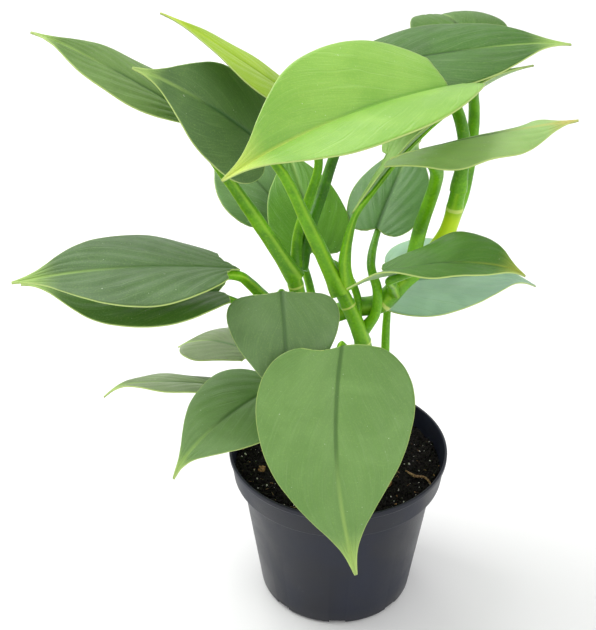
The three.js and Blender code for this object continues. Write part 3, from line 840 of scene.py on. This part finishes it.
# %% [markdown]
# Each stalk runs from its stem to the base of its blade, and goes on under the blade as the raised
# spine of the underside, thinner and thinner. Its last points therefore come from the same rule as
# the blade.

# %% Grow the stalks
SPINE_AT = (0.0, 0.12, 0.3, 0.5, 0.72)  # shares of the blade's length
SPINE_SIZE = (1.0, 0.7, 0.5, 0.36, 0.2)  # of the radius under the blade
SPINE_DEPTH = (1.5, 1.45, 1.0, 0.7, 0.45)  # how far under the blade, in radii under the blade


def midrib(leaf, s):
    """The midrib's point at share s of the blade's length, and the blade's normal there."""
    base, chord = Vector(leaf["base"]), Vector(leaf["tip"]) - Vector(leaf["base"])
    forward = chord.normalized()
    face = (Vector((0, 0, 1)) - forward * forward.z).normalized()
    face.rotate(Matrix.Rotation(math.radians(leaf["roll"]), 3, forward))
    side = face.cross(forward)
    bow, slope = 4 * s * (1 - s), 4 * (1 - 2 * s)
    tangent = (chord + face * leaf["arch"] * slope + side * leaf["sway"] * slope).normalized()
    normal = (face - tangent * face.dot(tangent)).normalized()
    normal.rotate(Matrix.Rotation(math.radians(leaf["twist"] * s), 3, tangent))
    return base + chord * s + face * leaf["arch"] * bow + side * leaf["sway"] * bow, normal


def grow_stalk(name, leaf):
    foot, top = leaf["stalk"]
    points = [leaf["start"], *leaf["via"]]
    for s, depth in zip(SPINE_AT, SPINE_DEPTH):
        at, normal = midrib(leaf, s)
        points.append(at - normal * top * depth)
    path = smooth_path(points)
    shares = shares_along(path)
    under = shares[PATH_STEPS * (len(leaf["via"]) + 1)]  # where the blade starts
    radii = []
    for t in shares:
        if t < under:
            flare = 0.25 * math.exp(-((t / 0.05) ** 2))
            sizes = [foot, foot * 0.75 + top * 0.25, foot * 0.4 + top * 0.6, top]
            radii.append(between(sizes, t / under) * (1 + flare))
        else:
            radii.append(top * between(SPINE_SIZE, (t - under) / (1 - under)))
    look = PAINTED_SHADE_STALK if leaf.get("dark") else STALK
    stalk = grow(
        TUBE, f"petiole_{name}", path_object(name, path, radii), sides=28, channel=0.16 * top * MM,
        ridge=0.14 * top * MM, roughness=0.35 * MM, material=look,
    )
    place(stalk, "stalk", f"stalk_{name}")


for name, leaf in LEAVES.items():
    grow_stalk(name, leaf)
print(len(LEAVES), "stalks")

# %% [markdown]
# ## The pot
#
# The pot is injection moulded: a thin tapered wall with a wide collar at the mouth, and a foot ring
# with gaps that let water out from under it. It is round, so its section is drawn once and spun. The
# CAD pot has 40 flat sides, which a low light would show, so this one has 192 and rounded corners.

# %% Section of the pot
POT_HEIGHT, RIM_RADIUS, BASE_RADIUS = 93, 60, 43
BAND_HEIGHT, BAND_TAPER, BAND_STEP, WALL = 16, 2.4, 4.2, 1.3
FOOT_LIFT, FOOT_WIDTH, CHANNEL_WIDTH = 2.8, 3.4, 8
GAP_COUNT, GAP_WIDTH, DRAIN_RADIUS = 8, 9, 3
BAND_FOOT, BODY_TOP = RIM_RADIUS - BAND_TAPER, POT_HEIGHT - BAND_HEIGHT
CHANNEL_OUTER, CHANNEL_INNER = BASE_RADIUS - FOOT_WIDTH, BASE_RADIUS - FOOT_WIDTH - CHANNEL_WIDTH


def wall_radius(z):
    """The outside radius of the tapered body at height z."""
    return BASE_RADIUS + (BAND_FOOT - BAND_STEP - BASE_RADIUS) * z / BODY_TOP


SECTION = [  # radius, height, and how round the corner is
    (0, 0, 0), (CHANNEL_INNER, 0, 0.4), (CHANNEL_INNER + WALL, FOOT_LIFT, 0.4),
    (CHANNEL_OUTER - WALL, FOOT_LIFT, 0.4), (CHANNEL_OUTER, 0, 0.4), (BASE_RADIUS - WALL, 0, 0.5),
    (wall_radius(WALL), WALL, 0.9), (wall_radius(BODY_TOP), BODY_TOP - 0.3, 1.2),
    (BAND_FOOT, BODY_TOP, 0.9),
    (RIM_RADIUS - 0.9, POT_HEIGHT - 3.6, 0.5), (RIM_RADIUS, POT_HEIGHT - 2.8, 0.5),
    (RIM_RADIUS, POT_HEIGHT, 0.6), (RIM_RADIUS - WALL, POT_HEIGHT, 0.5),
    (BAND_FOOT - WALL, BODY_TOP + WALL, 0.6), (wall_radius(BODY_TOP) - WALL, BODY_TOP, 1.0),
    (wall_radius(FOOT_LIFT) - WALL, FOOT_LIFT + WALL, 0.8), (CHANNEL_INNER, FOOT_LIFT + WALL, 0.5),
    (CHANNEL_INNER - WALL, WALL, 0.5), (0, WALL, 0),
]


def rounded(section, steps=3):
    """The section with each corner cut back by its roundness and bridged by a small arc."""
    line = []
    for k, (radius, height, soft) in enumerate(section):
        here = Vector((radius, height))
        if not soft:
            line.append(here)
            continue
        ends = [Vector(section[j][:2]) for j in (k - 1, k + 1)]
        a, b = [here + (e - here).normalized() * min(soft, (e - here).length * 0.45) for e in ends]
        for i in range(steps + 1):
            t = i / steps
            line.append(a * (1 - t) ** 2 + here * 2 * t * (1 - t) + b * t**2)
    return line


# %% Spin it, and cut the drains
POT_SIDES = 192


def lathe(name, line, sides):
    """A closed round body from a section line that starts and ends on the axis."""
    rings, verts, faces = [], [], []
    for r, z in line:
        if r < 0.001:
            rings.append([len(verts)] * sides)
            verts.append((0, 0, z * MM))
            continue
        rings.append(list(range(len(verts), len(verts) + sides)))
        for k in range(sides):
            turn = 2 * math.pi * k / sides
            verts.append((r * math.cos(turn) * MM, r * math.sin(turn) * MM, z * MM))
    for low, high in zip(rings, rings[1:]):
        for k in range(sides):
            n = (k + 1) % sides
            face = dict.fromkeys((low[k], low[n], high[n], high[k]))
            if len(face) > 2:
                faces.append(list(face))
    mesh = bpy.data.meshes.new(name)
    mesh.from_pydata(verts, [], faces)
    return mesh


def cutter(build):
    """A mesh object that a Boolean modifier takes away, one copy at each gap round the foot."""
    shape = bmesh.new()
    for k in range(GAP_COUNT):
        turn = Matrix.Rotation(math.radians(360 * k / GAP_COUNT - 90), 4, "Z")
        build(shape, turn)
    mesh = bpy.data.meshes.new("cutter")
    shape.to_mesh(mesh)
    return bpy.data.objects.new("cutter", mesh)


def add_drain(shape, turn):
    at = Matrix.Translation(((CHANNEL_INNER + CHANNEL_OUTER) / 2 * MM, 0, 0))
    bmesh.ops.create_cone(
        shape, segments=24, radius1=DRAIN_RADIUS * MM, radius2=DRAIN_RADIUS * MM,
        depth=(FOOT_LIFT + WALL) * 3 * MM, cap_ends=True, matrix=turn @ at,
    )


def add_gap(shape, turn):
    at = Matrix.Translation(((CHANNEL_OUTER + FOOT_WIDTH) * MM, 0, 0))
    size = Matrix.Diagonal((FOOT_WIDTH * 3 * MM, GAP_WIDTH * MM, FOOT_LIFT * 2 * MM, 1))
    bmesh.ops.create_cube(shape, size=1, matrix=turn @ at @ size)


def cut(mesh, name, cutters):
    body = add_to_scene(bpy.data.objects.new(name, mesh))
    for tool in cutters:
        add_to_scene(tool)
        away = body.modifiers.new("cut", "BOOLEAN")
        away.operation, away.solver, away.object = "DIFFERENCE", "EXACT", tool
    result = evaluated_mesh(body, name)
    for tool in cutters:
        bpy.data.objects.remove(tool)
    return result


def smooth_but_creased(mesh, degrees):
    for face in mesh.polygons:
        face.use_smooth = True
    mesh.set_sharp_from_angle(angle=math.radians(degrees))


# %% Finish of the pot
def pot_finish():
    material, tree, shader = finish_of("pot_plastic", 0.42, Specular_IOR_Level=0.3)
    where = add_node(tree, "ShaderNodeTexCoord", out="Object")
    height = where.part(2)
    dust = speckle(tree, 28, 5, distortion=0.4)
    grain = speckle(tree, 2600, 3)
    base = mixed(tree, ramp(tree, dust, 0.35, 0.75), "12141f", "1b2030")
    base = mixed(tree, ramp(tree, grain, 0.5, 0.8, 0, 0.25), base, "2b3142")
    base = mixed(tree, ramp(tree, height, 0.012, 0.0, 0, 0.35), base, "3a3a3c")
    scuffs = speckle(tree, 420, 2, distortion=2.0)
    base = mixed(tree, ramp(tree, scuffs, 0.7, 0.78, 0, 0.3), base, "565b68")
    rough = ramp(tree, dust, 0.3, 0.75, 0.34, 0.52)
    coat(shader, base, rough, grain * 0.7 + scuffs * 0.3, 0.00006)
    return material


pot = cut(lathe("nursery_pot", rounded(SECTION), POT_SIDES), "nursery_pot",
          [cutter(add_drain), cutter(add_gap)])
pot.materials.clear()
pot.materials.append(pot_finish())
smooth_but_creased(pot, 40)
place(pot, "pot", "pot")
print("pot with", len(pot.polygons), "faces")

# %% [markdown]
# ## The potting mix
#
# The mix is dark, loose and uneven: crumbs of peat of all sizes, white specks of perlite, and short
# tan fibres. The ground under them is a disc that rises gently to the stems. Crumbs, specks and
# fibres are scattered over it by one tree, which takes the thing to scatter and how many.

# %% The ground of the mix
SOIL_TOP, SOIL_MOUND, SOIL_BUMP = 81, 4, 0.9
WALL_GAP = 0.1  # between the mix and the wall
SHELF_RADIUS = BAND_FOOT - WALL - WALL_GAP  # inside the collar's lower edge
SOIL_RADIUS = SHELF_RADIUS + 0.3  # a little wider at the top of the mix, as the collar is


def ground_height(x, y):
    share = 1 - min(1, math.hypot(x, y) / SOIL_RADIUS)
    wave = SOIL_BUMP * math.sin(x * 0.31 + 1) * math.cos(y * 0.27 - x * 0.12)
    return SOIL_TOP + SOIL_MOUND * share * share * (3 - 2 * share) + wave


def ground_mesh():
    """The plug of mix: its top follows the ground, and its side and floor stay inside the pot."""
    rings, sides = 56, 144
    low = FOOT_LIFT + WALL + 0.4
    line = [(0, low), (wall_radius(low) - WALL - 0.4, low)]
    line += [(wall_radius(BODY_TOP) - WALL - WALL_GAP, BODY_TOP)]
    line += [(SHELF_RADIUS, BODY_TOP + WALL), (SOIL_RADIUS, SOIL_TOP)]
    line += [(SOIL_RADIUS * (1 - k / rings), SOIL_TOP) for k in range(1, rings + 1)]
    mesh = lathe("potting_ground", line, sides)
    rough = random.Random(5)
    for v in mesh.vertices:
        if v.co.z > (SOIL_TOP - 1) * MM:
            edge = 1 - min(1, math.hypot(v.co.x, v.co.y) / (SOIL_RADIUS * MM)) ** 20
            v.co.z = (ground_height(v.co.x / MM, v.co.y / MM) + rough.uniform(-0.5, 0.5) * edge) * MM
    return mesh


# %% Finishes of the mix
def crumbly(name, dark, light, roughness, scale=700, depth=0.0004):
    material, tree, shader = finish_of(name, roughness, Specular_IOR_Level=0.2)
    grain = speckle(tree, scale, 6, distortion=0.5)
    base = mixed(tree, ramp(tree, grain, 0.35, 0.7), dark, light)
    rough = ramp(tree, grain, 0.3, 0.7, roughness, roughness - 0.12)
    coat(shader, base, rough, grain, depth)
    return material


PEAT = crumbly("peat", "070606", "1c1713", 0.95)
PERLITE = crumbly("perlite", "a8a49a", "e8e6df", 0.85, scale=2000, depth=0.0002)
BARK = crumbly("bark", "6b4a2c", "b08a5c", 0.85, scale=500)
FIBRE = crumbly("fibre", "5f4630", "a88a63", 0.85, scale=900, depth=0.0002)

# %% Scatter over the ground
def scatter_tree():
    tree, g = shape_tree(
        "scatter", ground="geometry", crumb="object", spacing="float", amount="float",
        least="float", most="float", stand="float", seed="int", material="material",
    )
    normal = add_node(tree, "GeometryNodeInputNormal")
    faces_up = normal.part(2).math("GREATER_THAN", 0.5)
    spots = add_node(
        tree, "GeometryNodeDistributePointsOnFaces",
        {"Mesh": g["ground"], "Selection": faces_up, "Distance Min": g["spacing"],
         "Density Max": g["amount"], "Seed": g["seed"]},
        distribute_method="POISSON",
    )
    crumb = add_node(tree, "GeometryNodeObjectInfo", {"Object": g["crumb"]}, out="Geometry")
    spread = g["stand"] * (math.pi / 2)
    tip = add_node(tree, "ShaderNodeCombineXYZ", (spread, spread, math.pi))
    turn = add_node(
        tree, "FunctionNodeRandomValue", {0: tip * -1.0, 1: tip, "Seed": g["seed"]},
        data_type="FLOAT_VECTOR",
    )
    size = add_node(
        tree, "FunctionNodeRandomValue", {2: 0.0, 3: 1.0, "Seed": g["seed"]}, out=1,
        data_type="FLOAT",
    )
    size = g["least"] + (size ** 2.5) * (g["most"] - g["least"])
    laid = add_node(
        tree, "GeometryNodeInstanceOnPoints",
        {"Points": spots, "Instance": crumb, "Rotation": turn, "Scale": size},
    )
    return finish_tree(tree, laid, g["material"])


SCATTER = scatter_tree()


def lump(name, stretch, jitter, seed, subdivisions=1):
    """A small rough lump, one unit across, to scatter."""
    shape = bmesh.new()
    bmesh.ops.create_icosphere(shape, subdivisions=subdivisions, radius=0.5)
    rough = random.Random(seed)
    for v in shape.verts:
        v.co *= 1 + rough.uniform(-jitter, jitter)
        v.co = Vector(v.co[k] * stretch[k] for k in range(3))
    mesh = bpy.data.meshes.new(name)
    shape.to_mesh(mesh)
    return bpy.data.objects.new(name, mesh)


# lump, stretch, jitter, spacing mm, count in a square metre, least and most size mm, how much it
# stands up, slot and finish
SCRAPS = {
    "peat_crumbs": ((1, 0.8, 0.7), 0.3, 1.1, 500000, 1.0, 3.4, 1, "potting_mix", PEAT),
    "fine_peat": ((1, 0.7, 0.6), 0.3, 0.7, 900000, 0.5, 1.3, 1, "potting_mix", PEAT),
    "perlite_specks": ((1, 0.9, 0.8), 0.25, 2.2, 34000, 0.5, 1.6, 1, "potting_mix", PERLITE),
    "bark_bits": ((1, 0.35, 0.2), 0.2, 5, 9000, 1.6, 5.0, 0.25, "bark", BARK),
    "fibres": ((1, 0.07, 0.06), 0.1, 3, 16000, 2.5, 8.0, 0.3, "bark", FIBRE),
}


def scatter(name, seed, stretch, jitter, spacing, amount, least, most, stand, slot, finish):
    bed = bpy.data.objects.new(name, ground.copy())
    crumb = add_to_scene(lump(name, stretch, jitter, seed))
    mesh = grow(
        SCATTER, name, bed, crumb=crumb, spacing=spacing * MM, amount=float(amount), least=least * MM,
        most=most * MM, stand=float(stand), seed=seed, material=finish,
    )
    bpy.data.objects.remove(crumb)
    place(mesh, slot)
    print(name, len(mesh.polygons), "faces")


ground = ground_mesh()
ground.materials.append(PEAT)
for seed, (name, given) in enumerate(SCRAPS.items(), 3):
    scatter(name, seed, *given)
place(ground, "potting_mix", "potting_mix")

# %% [markdown]
# Three larger chips of bark and one loose root lie on the mix. A chip is a split, layered sliver, so
# each starts as a flat block that is cut into strips, and each strip is then shifted a little.

# %% Bark chips
CHIPS = {
    "bark_chip_front": ((25, -22), (8, 4, 2.4), 35),
    "bark_chip_back": ((40, 26), (6, 4, 2), -50),
    "bark_chip_left": ((-42, -8), (5, 3.4, 2), 80),
}
STRIPS = 5


def chip_mesh(name, at, size, turn):
    shape = bmesh.new()
    rough = random.Random(name)
    where = Matrix.Translation((at[0], at[1], ground_height(*at) + size[2] * 0.35))
    where = Matrix.Scale(MM, 4) @ where @ Matrix.Rotation(math.radians(turn), 4, "Z")
    for k in range(STRIPS):
        length = size[0] * rough.uniform(0.7, 0.98)
        across = (k + 0.5) / STRIPS * size[1] - size[1] / 2
        box = Matrix.Translation((rough.uniform(-0.4, 0.4), across, rough.uniform(-0.25, 0.25)))
        box @= Matrix.Diagonal((length, size[1] / STRIPS * 1.08, size[2] * rough.uniform(0.6, 0.9), 1))
        made = bmesh.ops.create_cube(shape, size=1, matrix=where @ box)["verts"]
        edges = list({e for v in made for e in v.link_edges})
        bmesh.ops.subdivide_edges(shape, edges=edges, cuts=3, use_grid_fill=True)
    for v in shape.verts:
        v.co += Vector(rough.uniform(-0.16, 0.16) * MM for _ in range(3))
    mesh = bpy.data.meshes.new(name.replace("bark_chip", "chip"))
    shape.to_mesh(mesh)
    mesh.materials.append(BARK)
    return mesh


for name, (at, size, turn) in CHIPS.items():
    place(chip_mesh(name, at, size, turn), "bark", name)

# %% The loose root
root_path = smooth_path([(37, -10, SOIL_TOP + 1.6), (42, -15, SOIL_TOP + 1.8),
                         (47, -16, SOIL_TOP + 1.7), (50, -22, SOIL_TOP + 1.5)])
root_radii = [between([0.5, 0.8, 0.7, 0.35], t) for t in shares_along(root_path)]
root = grow(
    TUBE, "loose_root", path_object("loose_root", root_path, root_radii), sides=12, channel=0.0,
    ridge=0.0, roughness=0.6 * MM, material=FIBRE,
)
place(root, "bark", "root_fibre")
print("chips and root laid")
